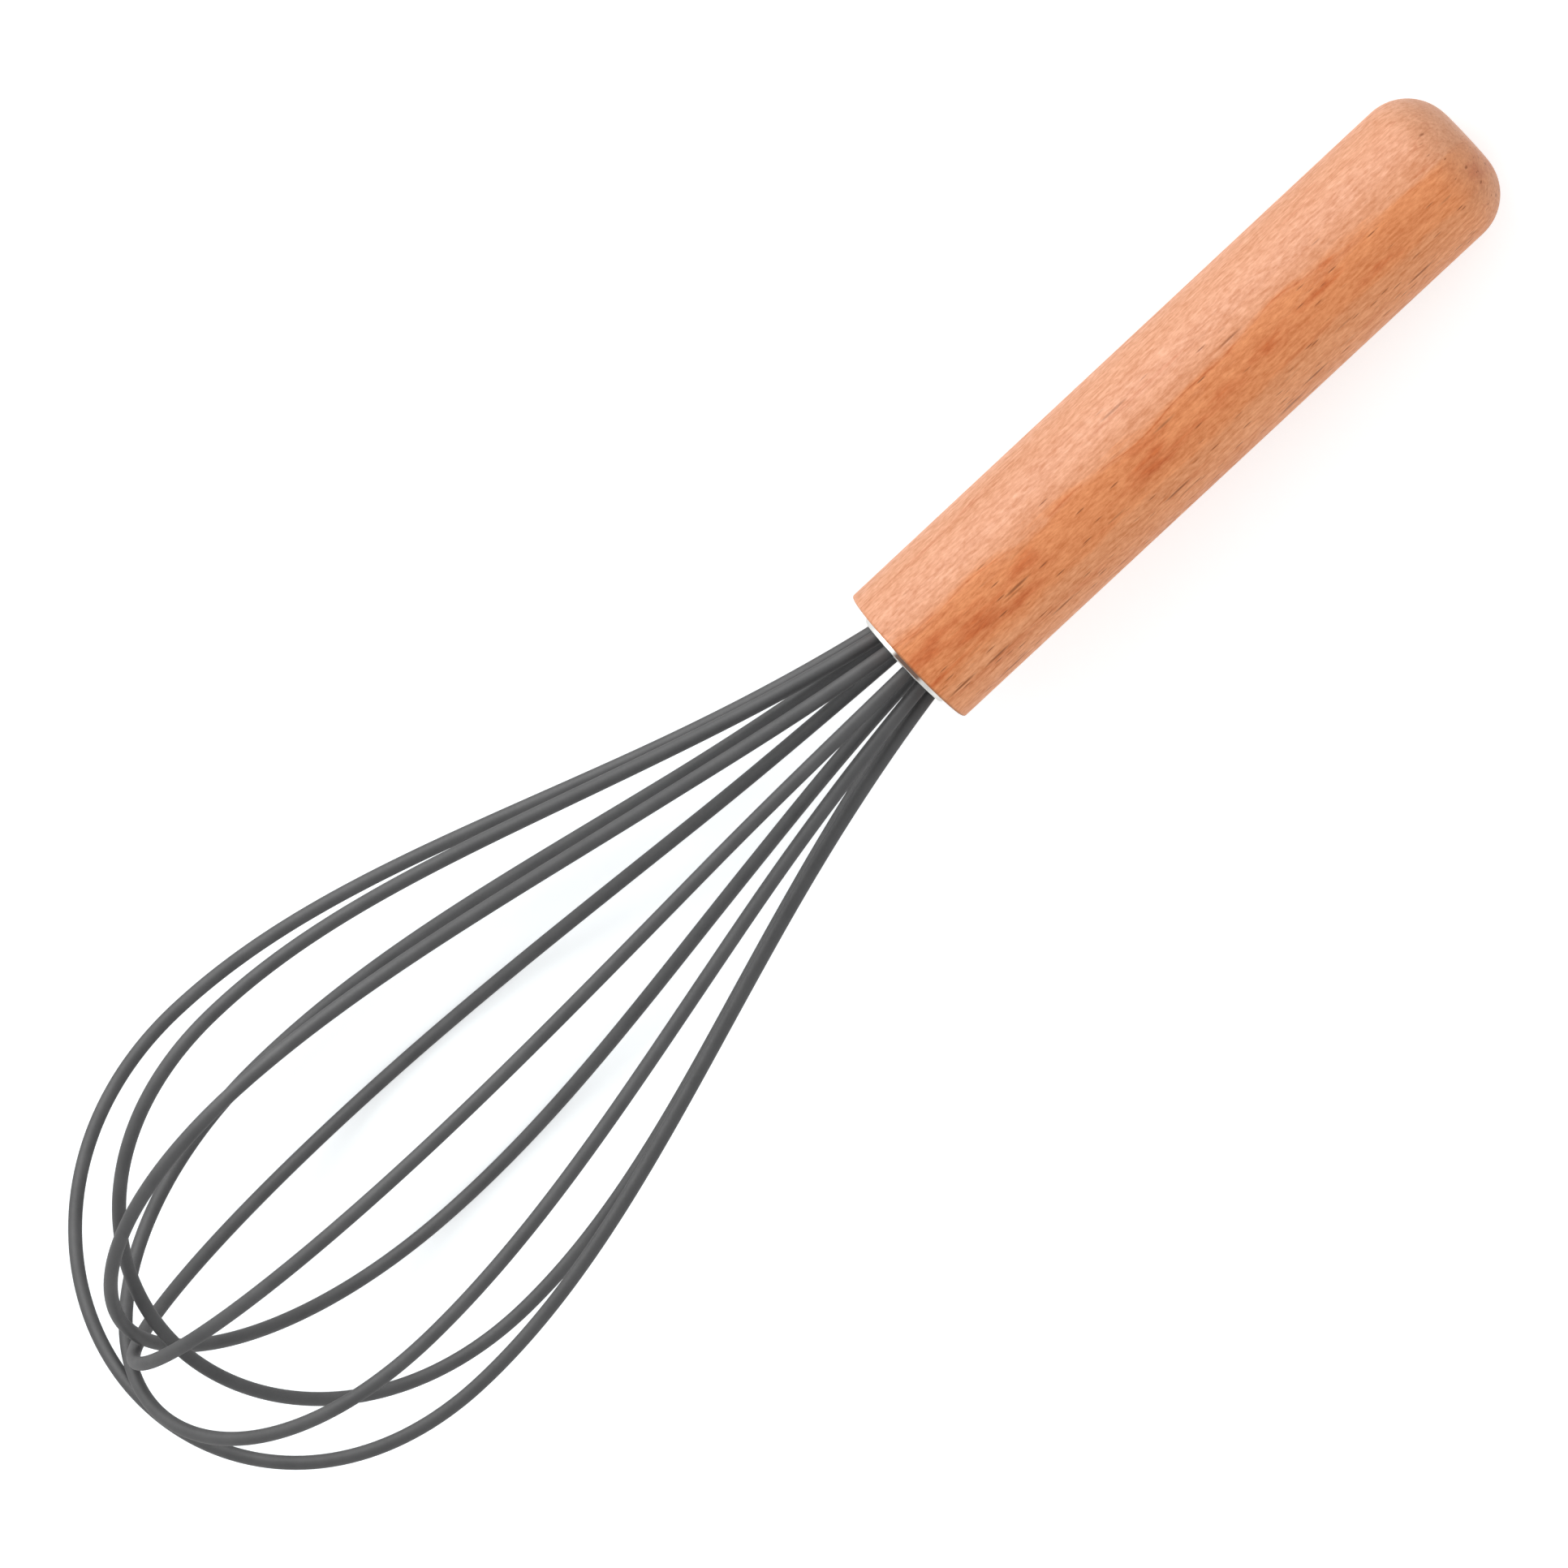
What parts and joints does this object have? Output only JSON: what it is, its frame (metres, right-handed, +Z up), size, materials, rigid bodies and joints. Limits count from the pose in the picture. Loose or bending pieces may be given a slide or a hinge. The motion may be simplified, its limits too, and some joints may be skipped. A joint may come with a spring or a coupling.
{
  "type": "silicone whisk",
  "caption": "Balloon whisk with a straight turned wooden handle, a thin steel ferrule and crossing loops of silicone covered wire, for beating and mixing by hand.",
  "frame": {"origin": "on the table, under the middle of the box of the whisk as it lies on its side", "axes": "+Z up, +X along the whisk from the balloon's tip to the butt, +Y across"},
  "size_m": [0.2692, 0.0712, 0.0728],
  "materials": {
    "beech": "sanded and oiled",
    "ferrule_steel": "polished",
    "resin": "cast",
    "silicone": "matt",
    "spring_steel": "drawn"
  },
  "bodies": {
    "root": {"handle": "beech", "ferrule": "ferrule_steel", "resin_plug": "resin", "loop_1_cover": "silicone", "loop_2_cover": "silicone", "loop_3_cover": "silicone", "loop_4_cover": "silicone", "loop_5_cover": "silicone", "loop_1_wire": "spring_steel", "loop_2_wire": "spring_steel", "loop_3_wire": "spring_steel", "loop_4_wire": "spring_steel", "loop_5_wire": "spring_steel"}
  },
  "joints": []
}
